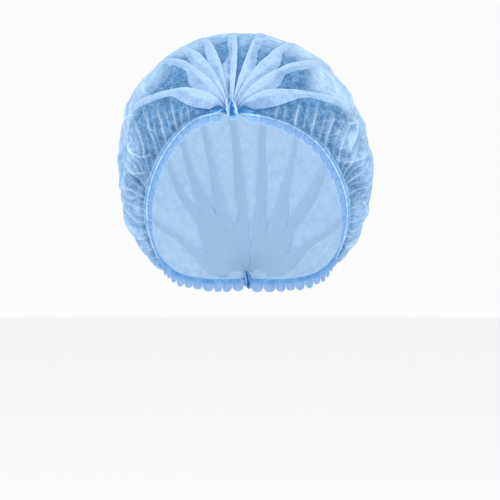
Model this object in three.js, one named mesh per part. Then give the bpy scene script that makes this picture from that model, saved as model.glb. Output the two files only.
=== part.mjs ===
// A disposable bouffant hairnet as it is worn: a strip of pleated nonwoven cloth whose two ends are
// gathered into a knot at the forehead and one at the nape, with an elastic hem band and a short
// ruffle along each long edge. Millimetres, +Z up, the wearer faces -Y.
//
// The cloth is worked out in a frame of its own: its +Y runs from the front knot to the rear knot,
// its +Z points out of the top of the fan of pleats. The group at the end tilts that frame.
import * as THREE from "three";

// Driving dimensions, in millimetres unless the name says otherwise.
const SLOPE_DEG = 34; // how far the line between the knots falls towards the nape
const DOME = { side: 93, front: 103, rear: 110, top: 120, power: 2.2 }; // half sizes of the crown
const KNOT_DIMPLE = { depth: 0.055, reach: 0.16 }; // share of the radius, and radians from a knot
const KNOT_SHIFT = { size: 11, reach: 0.7 }; // the front knot sits beside the middle of the brow
const LEAN = { size: 3, from: 40, to: 110 }; // the top of the crown leans the same way
const HEM = { halfWidth: 72, front: 100, rear: 105 }; // front and rear: how far away each knot is
const HEM_ROUNDING = { frontPower: 0.92, rearPower: 0.62, from: -0.5, to: 0.9 }; // squarer at the nape
const HEM_SAG = { size: 19, power: 1.2, share: 0.8, lean: 0.35 }; // its sides hang below the knots
const HEM_DROP = { size: 3.5, reach: 0.3 }; // the hem passes below the point where the pleats meet
const FAN_DEG = 100; // the cloth reaches this far round each side of the line between the knots
const SWELL_SHARE = 0.26; // the share of each half fan over which the cloth swells off the hem
const WALL = 1.2;
const GAP = 0.4; // between neighbouring pieces
const BAND_RADIUS = 1.6;
const EDGE = { sideDeg: 40, knotDeg: 85, knotLift: 1.1, reach: 0.5 }; // where it meets the welt
const RUFFLE = { depth: 6, wall: 1, wave: 0.9, inwardDeg: 10, brow: 27 };
const GATHER = { height: 1.5, share: 0.3, edgeShare: 0.1 }; // the puckers that rise from the hem
const PLEAT = { height: 1.8, topShare: 0.6, stepDeg: 1.2 }; // lower at the crown's top than at a knot
const KNOT = { width: 5.2, depth: 4.6, height: 6.4, flutes: 5, fluteDepth: 0.14 };
const KNOT_CLEARANCE_DEG = 3.4; // the crown stops this far short of each knot
const BAND_ENDS_DEG = { front: 3.4, rear: 1.3 }; // the welts and ruffles stop this far short
const KNOT_PLACE = { outwards: 1.5, up: -1.2 }; // from where the pleats meet
const SEAT = { along: -63.3, up: 97.95 }; // the inside of the crown's highest point, in the cloth's frame

// Each pleat's place in the fan, its width, and the most of the fan that it may take near a knot.
const PLEATS = [
  { fanDeg: -64, width: 13, mostDeg: 8 },
  { fanDeg: -41, width: 10, mostDeg: 5 },
  { fanDeg: -27, width: 10, mostDeg: 4.5 },
  { fanDeg: -13, width: 7, mostDeg: 4 },
  { fanDeg: 0, width: 6, mostDeg: 4 },
  { fanDeg: 13, width: 7, mostDeg: 4 },
  { fanDeg: 27, width: 10, mostDeg: 4.5 },
  { fanDeg: 41, width: 10, mostDeg: 5 },
  { fanDeg: 64, width: 13, mostDeg: 8 },
];
const SIDE_COLUMNS = 6; // grid columns of the crown below the lowest pleat, on each side
const CROWN_ROWS = 34; // from the front knot to the rear one
const BAND_STEPS = 36;
const RUFFLE_STEPS = 52;

const radians = THREE.MathUtils.degToRad;
const smooth = THREE.MathUtils.smoothstep;
const lerp = THREE.MathUtils.lerp;

// The hem's centre line on one side (+1 or -1), where along runs from 0 at the front knot to PI.
function hemPoint(side, along) {
  const sine = Math.abs(Math.sin(along));
  const cosine = Math.cos(along);
  const rearShare = smooth(-cosine, HEM_ROUNDING.from, HEM_ROUNDING.to);
  const power = lerp(HEM_ROUNDING.frontPower, HEM_ROUNDING.rearPower, rearShare);
  const sag = HEM_SAG.size * sine ** HEM_SAG.power * (HEM_SAG.share - HEM_SAG.lean * cosine);
  return new THREE.Vector3(
    side * HEM.halfWidth * sine ** power - knotShift(along),
    -cosine * (cosine > 0 ? HEM.front : HEM.rear),
    -sag - knotDrop(along),
  );
}

function knotDrop(along) {
  return HEM_DROP.size * Math.exp(-((fromKnot(along) / HEM_DROP.reach) ** 2));
}

function fromKnot(along) {
  return Math.min(along, Math.PI - along);
}

// The place along the hem of one of the steps that a band or a ruffle is built in.
function hemStep(step, steps) {
  const start = radians(BAND_ENDS_DEG.front);
  const end = Math.PI - radians(BAND_ENDS_DEG.rear);
  return lerp(start, end, step / steps);
}

function knotShift(along) {
  return KNOT_SHIFT.size * Math.exp(-((along / KNOT_SHIFT.reach) ** 2));
}

// The full crown, a rounded box drawn in a little at each knot, in the direction (fan, along).
function domePoint(fan, along) {
  const way = new THREE.Vector3(
    Math.sin(along) * Math.sin(fan),
    -Math.cos(along),
    Math.sin(along) * Math.cos(fan),
  );
  const length = way.y < 0 ? DOME.front : DOME.rear;
  const sum =
    Math.abs(way.x / DOME.side) ** DOME.power +
    Math.abs(way.y / length) ** DOME.power +
    Math.abs(way.z / DOME.top) ** DOME.power;
  const dimple = KNOT_DIMPLE.depth * Math.exp(-((fromKnot(along) / KNOT_DIMPLE.reach) ** 2));
  const point = way.multiplyScalar(sum ** (-1 / DOME.power) * (1 - dimple));
  point.x -= knotShift(along) + LEAN.size * smooth(point.z, LEAN.from, LEAN.to);
  return point;
}

// The smooth crown: the dome, drawn in to the hem over the last share of the fan.
function clothPoint(fan, along) {
  const fromHem = 1 - Math.abs(fan) / radians(FAN_DEG);
  const swell = THREE.MathUtils.clamp(fromHem / SWELL_SHARE, 0, 1);
  const drawnIn = 1 - Math.sqrt(1 - (1 - swell) ** 2);
  const hem = hemPoint(Math.sign(fan), along);
  const fromSide = 1 - smooth(fromKnot(along), 0, EDGE.reach);
  const rise = radians(lerp(EDGE.sideDeg, EDGE.knotDeg, fromSide));
  const lift = EDGE.knotLift * fromSide;
  const edge = new THREE.Vector3(hem.x, hem.y, 0).normalize().multiplyScalar(Math.cos(rise));
  edge.z = Math.sin(rise);
  return domePoint(fan, along).lerp(hem.addScaledVector(edge, BAND_RADIUS + GAP + lift), drawnIn);
}

// The outward normal of the smooth crown, from two small steps across it.
function clothNormal(fan, along) {
  const step = 1e-3;
  const across = clothPoint(fan + step, along).sub(clothPoint(fan - step, along));
  const down = clothPoint(fan, along + step).sub(clothPoint(fan, along - step));
  return across.cross(down).normalize();
}

// Half of the fan angle that a pleat covers at this distance along.
function pleatHalf(pleat, along) {
  const radius = DOME.top * Math.sin(along);
  return Math.min(radians(pleat.mostDeg), pleat.width / 2 / radius);
}

// The crown's columns: each has a fan angle and whether it stands on top of a pleat.
function crownColumns(along) {
  const step = radians(PLEAT.stepDeg);
  const columns = [];
  const edge = radians(FAN_DEG);
  for (const pleat of PLEATS) {
    const middle = radians(pleat.fanDeg);
    const half = pleatHalf(pleat, along);
    columns.push({ fan: middle - half - step, raised: 0 });
    columns.push({ fan: middle - half, raised: 1 });
    columns.push({ fan: middle + half, raised: 1 });
    columns.push({ fan: middle + half + step, raised: 0 });
  }
  const side = [];
  const last = columns[columns.length - 1].fan;
  for (let k = 1; k <= SIDE_COLUMNS; k++) {
    side.push({ fan: lerp(last, edge, k / SIDE_COLUMNS), raised: 0 });
  }
  const mirrored = side.map((column) => ({ fan: -column.fan, raised: 0 })).reverse();
  return [...mirrored, ...columns, ...side];
}

// How far the cloth stands off the smooth crown: pleats, and puckers that die out above the hem.
function relief(column, along, row) {
  const pleat = PLEAT.height * column.raised * lerp(PLEAT.topShare, 1, Math.cos(along) ** 2);
  const fromHem = 1 - Math.abs(column.fan) / radians(FAN_DEG);
  const fade = 1 - smooth(fromHem, 0, GATHER.share);
  const atHem = smooth(fromHem, 0, GATHER.edgeShare);
  const ends = Math.sqrt(Math.sin(along));
  return pleat + GATHER.height * (row % 2 ? 1 : -1) * fade * atHem * ends;
}

// A closed wall between two grids of points of the same size.
function wallGeometry(outer, inner) {
  const rows = outer.length;
  const columns = outer[0].length;
  const positions = [...outer.flat(), ...inner.flat()].flatMap((point) => point.toArray());
  const index = [];
  const out = (i, j) => i * columns + j;
  const into = (i, j) => rows * columns + out(i, j);
  const quad = (a, b, c, d) => index.push(a, b, c, a, c, d);
  for (let i = 0; i + 1 < rows; i++) {
    for (let j = 0; j + 1 < columns; j++) {
      quad(out(i, j), out(i, j + 1), out(i + 1, j + 1), out(i + 1, j));
      quad(into(i, j), into(i + 1, j), into(i + 1, j + 1), into(i, j + 1));
    }
    quad(out(i, 0), out(i + 1, 0), into(i + 1, 0), into(i, 0));
    quad(out(i + 1, columns - 1), out(i, columns - 1), into(i, columns - 1), into(i + 1, columns - 1));
  }
  for (let j = 0; j + 1 < columns; j++) {
    quad(out(0, j + 1), out(0, j), into(0, j), into(0, j + 1));
    quad(out(rows - 1, j), out(rows - 1, j + 1), into(rows - 1, j + 1), into(rows - 1, j));
  }
  const geometry = new THREE.BufferGeometry();
  geometry.setAttribute("position", new THREE.Float32BufferAttribute(positions, 3));
  geometry.setIndex(index);
  geometry.computeVertexNormals();
  return geometry;
}

function crownGeometry() {
  const start = radians(KNOT_CLEARANCE_DEG);
  const outer = [];
  const inner = [];
  for (let row = 0; row <= CROWN_ROWS; row++) {
    const along = lerp(start, Math.PI - start, row / CROWN_ROWS);
    const outerRow = [];
    const innerRow = [];
    for (const column of crownColumns(along)) {
      const normal = clothNormal(column.fan, along);
      const point = clothPoint(column.fan, along);
      point.addScaledVector(normal, relief(column, along, row));
      outerRow.push(point);
      innerRow.push(point.clone().addScaledVector(normal, -WALL));
    }
    outer.push(outerRow);
    inner.push(innerRow);
  }
  return wallGeometry(outer, inner);
}

// The elastic hem band of one side: a round welt along the hem.
function bandGeometry(side) {
  const points = [];
  for (let step = 0; step <= BAND_STEPS; step++) {
    points.push(hemPoint(side, hemStep(step, BAND_STEPS)));
  }
  const section = new THREE.Shape();
  section.absarc(0, 0, BAND_RADIUS, 0, 2 * Math.PI);
  return new THREE.ExtrudeGeometry(section, {
    extrudePath: new THREE.CatmullRomCurve3(points),
    steps: BAND_STEPS,
    curveSegments: 4,
    bevelEnabled: false,
  });
}

// The ruffle of one side: it hangs from the band, tilts in over the brow, and waves more and more
// towards its free edge.
function ruffleGeometry(side) {
  const outer = [];
  const inner = [];
  for (let step = 0; step <= RUFFLE_STEPS; step++) {
    const along = hemStep(step, RUFFLE_STEPS);
    const top = hemPoint(side, along);
    const outwards = new THREE.Vector3(top.x, top.y, 0).normalize();
    const tilt = radians(RUFFLE.inwardDeg + RUFFLE.brow * Math.cos(along));
    const down = new THREE.Vector3(0, 0, -Math.cos(tilt)).addScaledVector(outwards, -Math.sin(tilt));
    const face = outwards.clone().addScaledVector(down, -outwards.dot(down)).normalize();
    const wave = RUFFLE.wave * (step % 2 ? 1 : -1);
    const outerRow = [];
    const innerRow = [];
    for (const share of [0, 0.5, 1]) {
      const drop = BAND_RADIUS + GAP + share * RUFFLE.depth;
      const middle = top.clone().addScaledVector(down, drop).addScaledVector(face, wave * share);
      outerRow.push(middle.clone().addScaledVector(face, RUFFLE.wall / 2));
      innerRow.push(middle.clone().addScaledVector(face, -RUFFLE.wall / 2));
    }
    outer.push(side < 0 ? outerRow.reverse() : outerRow);
    inner.push(side < 0 ? innerRow.reverse() : innerRow);
  }
  return wallGeometry(outer, inner);
}

// A knot: the stacked pleat ends, drawn together into a small fluted bulb.
function knotGeometry() {
  const geometry = new THREE.SphereGeometry(1, 20, 10);
  const position = geometry.getAttribute("position");
  const point = new THREE.Vector3();
  for (let i = 0; i < position.count; i++) {
    point.fromBufferAttribute(position, i);
    const turn = Math.atan2(point.z, point.x);
    const flute = 1 - KNOT.fluteDepth * (1 + Math.cos(2 * KNOT.flutes * turn)) * (1 - point.y ** 2);
    position.setXYZ(i, point.x * flute * KNOT.width, point.y * KNOT.depth, point.z * flute * KNOT.height);
  }
  geometry.computeVertexNormals();
  return geometry;
}

function cloth(color, roughness) {
  return new THREE.MeshStandardMaterial({ color, roughness, metalness: 0, side: THREE.DoubleSide });
}

function named(name, geometry, material) {
  const mesh = new THREE.Mesh(geometry, material);
  mesh.name = name;
  return mesh;
}

function buildHairnet() {
  const net = cloth(0x9cc8f0, 0.85);
  const welt = cloth(0x8fc4f2, 0.8);
  const gathered = cloth(0x4f9ade, 0.8);
  const hairnet = new THREE.Group();
  hairnet.add(named("crown", crownGeometry(), net));
  for (const [label, side] of [["left", 1], ["right", -1]]) {
    hairnet.add(named("hem_band_" + label, bandGeometry(side), welt));
    hairnet.add(named("ruffle_" + label, ruffleGeometry(side), net));
  }
  for (const [name, along, away] of [["front_knot", 0, -1], ["rear_knot", Math.PI, 1]]) {
    const knot = named(name, knotGeometry(), gathered);
    knot.position.copy(domePoint(0, along));
    knot.position.y += away * KNOT_PLACE.outwards;
    knot.position.z += KNOT_PLACE.up;
    hairnet.add(knot);
  }
  return hairnet;
}

// The cloth's frame is lowered by its seat, then tilted, so that the origin is where the head's
// top touches the crown.
const hairnet = buildHairnet();
for (const mesh of hairnet.children) {
  mesh.position.y -= SEAT.along;
  mesh.position.z -= SEAT.up;
}
hairnet.rotation.x = -radians(SLOPE_DEG);

export default hairnet;
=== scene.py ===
"""A disposable bouffant hairnet as it is worn: a pleated crown, two hem bands with ruffles, and two knots.

Lengths are millimetres in the cloth's own frame until a mesh is made, and metres in the row's frame after
that. The cloth's +Y runs from the front knot to the rear knot, and its +Z out of the top of the fan.
"""
import logging
import math
from dataclasses import dataclass
from enum import Enum
from typing import Callable, Sequence

import bpy
import numpy as np
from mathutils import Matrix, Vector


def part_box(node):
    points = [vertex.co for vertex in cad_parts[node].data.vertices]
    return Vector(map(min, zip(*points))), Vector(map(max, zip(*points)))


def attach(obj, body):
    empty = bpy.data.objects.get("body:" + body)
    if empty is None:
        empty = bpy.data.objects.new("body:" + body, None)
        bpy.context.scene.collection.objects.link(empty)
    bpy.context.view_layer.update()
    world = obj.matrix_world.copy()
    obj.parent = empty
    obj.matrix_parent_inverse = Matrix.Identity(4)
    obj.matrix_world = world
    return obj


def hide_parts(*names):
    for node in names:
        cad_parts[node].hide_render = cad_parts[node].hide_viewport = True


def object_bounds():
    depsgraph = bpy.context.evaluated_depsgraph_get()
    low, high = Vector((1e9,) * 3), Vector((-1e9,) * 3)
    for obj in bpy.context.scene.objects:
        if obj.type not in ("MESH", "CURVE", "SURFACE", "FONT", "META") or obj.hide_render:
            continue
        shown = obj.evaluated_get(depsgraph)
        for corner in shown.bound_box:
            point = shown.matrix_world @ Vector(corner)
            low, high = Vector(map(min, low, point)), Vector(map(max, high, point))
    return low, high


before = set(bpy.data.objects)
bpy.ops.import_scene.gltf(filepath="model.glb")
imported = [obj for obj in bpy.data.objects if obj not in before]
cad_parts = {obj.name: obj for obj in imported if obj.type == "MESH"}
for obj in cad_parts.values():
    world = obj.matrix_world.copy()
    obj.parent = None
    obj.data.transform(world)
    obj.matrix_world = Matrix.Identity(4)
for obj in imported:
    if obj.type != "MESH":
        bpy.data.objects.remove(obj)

LOG = logging.getLogger("hairnet")
METRES = 0.001  # of a millimetre
Array = np.ndarray
Piece = bpy.types.Object
Material = bpy.types.Material
Socket = bpy.types.NodeSocket
Pair = tuple[float, float]
Triple = tuple[float, float, float]
Colour = Triple

CAD_BOX = [list(corner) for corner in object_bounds()]


class Side(Enum):
    """The wearer's left (+X) or right (-X)."""

    LEFT = 1
    RIGHT = -1

    @property
    def label(self) -> str:
        """The word that names of pieces end in."""
        return self.name.lower()

    def pick(self, left: object, right: object) -> object:
        """The first value on the wearer's left, and the second on the right."""
        return left if self is Side.LEFT else right


# ---------------------------------------------------------------------------------- number helpers


def smooth(value: Array, low: float, high: float) -> Array:
    """0 below low, 1 above high, and 3t^2 - 2t^3 of the share t between them."""
    share = np.clip((value - low) / (high - low), 0.0, 1.0)
    return share * share * (3.0 - 2.0 * share)


def blend(first: Array, second: Array, share: Array) -> Array:
    """first where share is 0 and second where it is 1, in a straight line between."""
    return first + (second - first) * share


def held(value: Array) -> Array:
    """value, kept from 0 to 1."""
    return np.clip(value, 0.0, 1.0)


def peak(value: Array, middle: Array | float, reach: Array | float) -> Array:
    """A smooth hump, exp(-((value - middle) / reach)^2): 1 at its middle."""
    return np.exp(-(((value - middle) / reach) ** 2))


def per_row(values: Array) -> Array:
    """One value for each row, as a column."""
    return np.asarray(values)[:, None]


def hashed(row: Array, column: Array, seed: int) -> Array:
    """A repeatable value from -1 to 1 for each whole-numbered pair: three rounds of multiply and shift."""
    mask = np.uint64(0xFFFFFFFF)
    mixed = (
        np.asarray(row, np.int64).astype(np.uint64) * np.uint64(0x9E3779B1)
        + np.asarray(column, np.int64).astype(np.uint64) * np.uint64(0x85EBCA77)
        + np.uint64(seed * 0xC2B2AE3D)
    ) & mask
    for shift, factor in ((15, 0x2C1B3C6D), (12, 0x297A2D39), (15, 0x1B56C4E9)):
        mixed = ((mixed ^ (mixed >> np.uint64(shift))) * np.uint64(factor)) & mask
    return (mixed >> np.uint64(8)).astype(float) / float(0x7FFFFF) - 1.0


def wander(place: Array, seed: int) -> Array:
    """A smooth line of random heights, one for each whole number of place, from -1 to 1."""
    cell = np.floor(place)
    share = smooth(place - cell, 0.0, 1.0)
    return blend(hashed(cell, cell * 0, seed), hashed(cell + 1, cell * 0, seed), share)


def facets(u: Array, v: Array, seed: int) -> Array:
    """Crumpled flats: random heights on a lattice of triangles of about unit size, joined by plane facets.

    The plane is sheared so that the lattice is one of squares, each square is cut along its diagonal, and
    the three heights of a triangle are blended by the point's barycentric shares.
    """
    shear = (u + v) * (math.sqrt(3.0) - 1.0) / 2.0
    row, column = np.floor(u + shear), np.floor(v + shear)
    along, across = u + shear - row, v + shear - column
    upper = along > across
    far, near = np.maximum(along, across), np.minimum(along, across)
    return (
        hashed(row, column, seed) * (1.0 - far)
        + hashed(row + upper, column + ~upper, seed) * (far - near)
        + hashed(row + 1, column + 1, seed) * near
    )


def unit(vectors: Array) -> Array:
    """The vectors along the last axis, at length 1."""
    return vectors / np.maximum(np.linalg.norm(vectors, axis=-1, keepdims=True), 1e-12)


def flat_map(across: Array, down: Array) -> Array:
    """Places on the flat cloth, in metres, from two arrays of millimetres that are spread over the grid."""
    return np.stack(np.broadcast_arrays(across, down), -1) * METRES


# ------------------------------------------------------------------------------- the cloth's shape


@dataclass(frozen=True)
class Envelope:
    """The smooth surface that the cap's cloth lies on, in the cloth's frame, in millimetres.

    side, front, rear and top are the dome's half sizes, and fan is the angle of the hem. A lift is a height
    and the two degrees along that it fades between.
    """

    side: float = 93.0
    front: float = 103.0
    rear: float = 110.0
    top: float = 120.0
    power: float = 2.2
    dimple: float = 0.055
    dimple_reach: float = 0.16
    knot_shift: float = 11.0
    knot_shift_reach: float = 0.7
    lean: float = 3.0
    lean_from: float = 40.0
    lean_to: float = 110.0
    hem_half_width: float = 72.0
    hem_front: float = 100.0
    hem_rear: float = 105.0
    hem_front_power: float = 0.92
    hem_rear_power: float = 0.62
    hem_turn: Pair = (-0.5, 0.9)
    hem_sag: float = 19.0
    hem_sag_power: float = 1.2
    hem_sag_middle: float = 0.8
    hem_sag_tilt: float = 0.35
    hem_drop: float = 3.5
    hem_drop_reach: float = 0.3
    edge_height: float = 1.1
    fan: float = math.radians(100.0)
    swell_share: float = 0.26
    above_rate: float = 0.5
    lift_left: Triple = (4.0, 40.0, 70.0)
    lift_right: Triple = (4.6, 8.0, 50.0)
    lump_table: tuple[Triple, ...] = (
        (-58.0, 4.0, 9.0),
        (-38.0, 2.0, 13.0),
        (54.0, -3.0, 9.0),
        (82.0, -3.5, 13.0),
    )
    lump_along: Triple = (57.0, 127.0, 4.0)
    lump_reach: float = 20.0
    ripple: float = 0.9
    ripple_step: float = 7.0

    def hem(self, side: Array | float, along: Array) -> Array:
        """The hem's centre line.

        Args:
            side: 1 on the wearer's left and -1 on the right.
            along: from 0 at the front knot to pi at the rear one.

        Returns:
            x = side * half width * sin^power, y = -half length * cos, z = -sag * sin^1.2 * (0.8 - 0.35 cos),
            moved sideways and down a little at the knots, and lifted over the brow.
        """
        sine, cosine = np.abs(np.sin(along)), np.cos(along)
        power = blend(self.hem_front_power, self.hem_rear_power, smooth(-cosine, *self.hem_turn))
        x = side * self.hem_half_width * sine**power - self.shift(along)
        y = -cosine * np.where(cosine > 0, self.hem_front, self.hem_rear)
        sag = self.hem_sag * sine**self.hem_sag_power * (self.hem_sag_middle - self.hem_sag_tilt * cosine)
        drop = self.hem_drop * peak(self.from_knot(along), 0.0, self.hem_drop_reach)
        return np.stack(np.broadcast_arrays(x, y, -sag - drop + self.lift(side, along)), -1)

    def lift(self, side: Array | float, along: Array) -> Array:
        """How far the hem rises over the brow: a height, and the two degrees that it fades between."""
        left, right = (
            tall * (1.0 - smooth(np.degrees(along), start, end))
            for tall, start, end in (self.lift_left, self.lift_right)
        )
        return np.where(np.asarray(side) > 0, left, right)

    def from_knot(self, along: Array) -> Array:
        """The angle to the nearer knot."""
        return np.minimum(along, math.pi - along)

    def shift(self, along: Array) -> Array:
        """How far the cloth is drawn to the wearer's right, by the knot that sits there."""
        return self.knot_shift * peak(along, 0.0, self.knot_shift_reach)

    def dome(self, fan: Array, along: Array) -> Array:
        """A rounded box with half sizes side, front or rear, and top, drawn in a little at each knot.

        A point is its direction d from the middle times (|dx/a|^p + |dy/b|^p + |dz/c|^p)^(-1/p).
        """
        x, y, z = np.broadcast_arrays(
            np.sin(along) * np.sin(fan), -np.cos(along), np.sin(along) * np.cos(fan)
        )
        length = np.where(y < 0, self.front, self.rear)
        total = (
            np.abs(x / self.side) ** self.power
            + np.abs(y / length) ** self.power
            + np.abs(z / self.top) ** self.power
        )
        dimple = self.dimple * peak(self.from_knot(along), 0.0, self.dimple_reach)
        radius = total ** (-1.0 / self.power) * (1.0 - dimple)
        lean = self.lean * smooth(z * radius, self.lean_from, self.lean_to)
        return np.stack([x * radius - self.shift(along) - lean, y * radius, z * radius], -1)

    def cloth(self, fan: Array, along: Array) -> Array:
        """The dome, drawn in to the hem on a quarter circle over the last share of the fan."""
        swell = held((1.0 - np.abs(fan) / self.fan) / self.swell_share)
        drawn_in = 1.0 - np.sqrt(held(1.0 - (1.0 - swell) ** 2))
        hem = self.hem(np.sign(fan), along)
        hem[..., 2] += self.edge_height
        return blend(self.dome(fan, along), hem, drawn_in[..., None])

    def normal(self, fan: Array, along: Array, step: float = 1e-3) -> Array:
        """The outward normal, from two small steps across the surface."""
        across = self.cloth(fan + step, along) - self.cloth(fan - step, along)
        down = self.cloth(fan, along + step) - self.cloth(fan, along - step)
        return unit(np.cross(across, down))

    def share(self, fan: Array) -> Array:
        """How far up from the hem a place is: 0 at the hem, 1 where the cloth is swelled, and on in line."""
        swell = (1.0 - np.abs(fan) / self.fan) / self.swell_share
        turned = np.arccos(np.clip(1.0 - swell, -1.0, 1.0)) / (math.pi / 2)
        return np.where(swell < 1.0, turned, 1.0 + (swell - 1.0) * self.above_rate)

    def lumps(self, fan: Array, along: Array) -> Array:
        """The broad bulges and hollows of the loose cloth round its widest line, in millimetres.

        Each row of lump_table is the middle's degrees of fan, the height, and the reach in degrees. Small
        random ripples are added. The widest line goes from the first angle of lump_along, at the top of the
        fan, to the second at the hem, by a power of the fan.
        """
        degrees = np.degrees(fan)
        size = self.ripple * wander(degrees / self.ripple_step, 70)
        for middle, height, reach in self.lump_table:
            size = size + height * peak(degrees, middle, reach)
        top, low, power = self.lump_along
        widest = top + (low - top) * held(np.abs(fan) / self.fan) ** power
        return size * peak(np.degrees(along), widest, self.lump_reach)

    def reach(self, fan: Array | float, along: Array) -> Array:
        """Millimetres for each radian of fan: how far the cloth is from the line between the knots."""
        point = self.dome(fan, along)
        return np.hypot(point[..., 0] + self.shift(along), point[..., 2])


@dataclass(frozen=True)
class Seat:
    """Where the cloth's frame lies in the row's frame, from the places of the two CAD knots."""

    front: Array
    forward: Array
    upward: Array
    knot_along: float = -98.8
    knot_up: float = -1.2

    @classmethod
    def from_knots(cls) -> "Seat":
        """Reads the two knots' boxes: the line between their middles is the cloth's +Y."""
        front, rear = (np.mean(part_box(name), axis=0) / METRES for name in ("front_knot", "rear_knot"))
        forward = unit(np.array([0.0, rear[1] - front[1], rear[2] - front[2]]))
        return cls(front, forward, np.array([0.0, -forward[2], forward[1]]))

    def to_row(self, points: Array) -> Array:
        """The points, in metres in the row's frame."""
        row = (points[..., 1:2] - self.knot_along) * self.forward
        row = row + (points[..., 2:3] - self.knot_up) * self.upward
        row[..., 0] += points[..., 0]
        row[..., 1:] += self.front[1:]
        return row * METRES


# ------------------------------------------------------------------------------------- mesh making


def grid_mesh(
    name: str,
    points: Array,
    masks: dict[str, Array],
    flat: Array,
    around: bool = False,
    outwards: bool = True,
) -> Piece:
    """Makes a mesh of a grid of points.

    Args:
        name: the piece's name.
        points: rows x columns x 3, in metres.
        masks: named rows x columns values, which become float attributes of the vertices.
        flat: rows x columns x 2, the cloth's own place at each vertex, which becomes the UV map.
        around: whether the last column joins the first.
        outwards: whether the faces' order is kept; if not, it is turned round.

    Returns:
        The object, linked to the scene, smooth, at the origin.
    """
    rows, columns = points.shape[:2]
    count = columns if around else columns - 1
    row, column = np.meshgrid(np.arange(rows - 1), np.arange(count), indexing="ij")
    after = (column + 1) % columns
    corners = ((row, column), (row, after), (row + 1, after), (row + 1, column))
    quads = np.stack([down * columns + across for down, across in corners], -1).reshape(-1, 4)
    if not outwards:
        quads = quads[:, ::-1]
    mesh = bpy.data.meshes.new(name)
    mesh.vertices.add(rows * columns)
    mesh.vertices.foreach_set("co", points.astype(np.float32).ravel())
    mesh.loops.add(quads.size)
    mesh.loops.foreach_set("vertex_index", quads.astype(np.int32).ravel())
    mesh.polygons.add(len(quads))
    mesh.polygons.foreach_set("loop_start", np.arange(0, quads.size, 4, dtype=np.int32))
    mesh.update(calc_edges=True)
    mesh.polygons.foreach_set("use_smooth", np.ones(len(quads), dtype=bool))
    uv = mesh.uv_layers.new(name="UVMap")
    uv.data.foreach_set("uv", flat.reshape(-1, 2)[quads.ravel()].astype(np.float32).ravel())
    for label, values in masks.items():
        layer = mesh.attributes.new(label, "FLOAT", "POINT")
        spread = np.broadcast_to(values, (rows, columns))
        layer.data.foreach_set("value", spread.astype(np.float32).ravel())
    mesh.validate()
    piece = bpy.data.objects.new(name, mesh)
    bpy.context.scene.collection.objects.link(piece)
    return piece


def mounted(piece: Piece, material: Material, slot: str, *nodes: str) -> Piece:
    """Dresses a piece, hangs it on the root body and hides the CAD nodes it stands for; slot is not used."""
    piece.data.materials.append(material)
    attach(piece, "root")
    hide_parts(*nodes)
    LOG.info("%s: %d faces", piece.name, len(piece.data.polygons))
    return piece


# --------------------------------------------------------------------------------------- materials


class Graph:
    """A small helper that adds nodes to a tree and joins them."""

    def __init__(self, tree: bpy.types.NodeTree) -> None:
        """Starts on an empty tree."""
        self.tree = tree
        self.tree.nodes.clear()

    def add(
        self, kind: str, inputs: dict[str | int, object] | None = None, **settings: object
    ) -> bpy.types.Node:
        """Adds a node.

        Args:
            kind: the node's type.
            inputs: values or sockets for its inputs, by name or place.
            settings: the node's own properties.

        Returns:
            The node.
        """
        node = self.tree.nodes.new(kind)
        for name, value in settings.items():
            setattr(node, name, value)
        for key, value in (inputs or {}).items():
            if isinstance(value, Socket):
                self.tree.links.new(value, node.inputs[key])
            else:
                node.inputs[key].default_value = value
        return node

    def math(self, operation: str, *values: object) -> Socket:
        """The result of a Math node."""
        return self.add("ShaderNodeMath", dict(enumerate(values)), operation=operation).outputs[0]

    def blend(self, share: object, first: object, second: object) -> Socket:
        """A number between first and second."""
        return self.add("ShaderNodeMix", {0: share, 2: first, 3: second}).outputs[0]

    def mix(self, share: object, first: object, second: object) -> Socket:
        """A colour between first and second."""
        node = self.add("ShaderNodeMix", data_type="RGBA")
        for socket, value in zip((node.inputs[0], node.inputs[6], node.inputs[7]), (share, first, second)):
            if isinstance(value, Socket):
                self.tree.links.new(value, socket)
            else:
                socket.default_value = (*value, 1.0) if isinstance(value, tuple) else value
        return node.outputs[2]

    def range(self, value: object, low: float, high: float, to: Pair = (0.0, 1.0)) -> Socket:
        """value, moved from low..high to the two numbers of to, and held between them."""
        inputs = {"Value": value, "From Min": low, "From Max": high, "To Min": to[0], "To Max": to[1]}
        return self.add("ShaderNodeMapRange", inputs, clamp=True).outputs[0]

    def noise(self, vector: object, scale: float, detail: float = 2.0, rough: float = 0.5) -> Socket:
        """The value of a Noise texture."""
        inputs = {"Vector": vector, "Scale": scale, "Detail": detail, "Roughness": rough}
        return self.add("ShaderNodeTexNoise", inputs).outputs[0]

    def mask(self, name: str) -> Socket:
        """A float attribute of the piece's vertices."""
        return self.add("ShaderNodeAttribute", attribute_name=name).outputs["Fac"]


# Each row: the scale of a noise, half the width of its line, and how it is turned and moved.
STRAND_LAYERS = (
    (0.33, 0.030, (0.3, 0.9, 0.2)),
    (0.47, 0.036, (1.1, 0.2, 0.7)),
    (0.70, 0.050, (0.5, 1.7, 1.3)),
)


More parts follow.
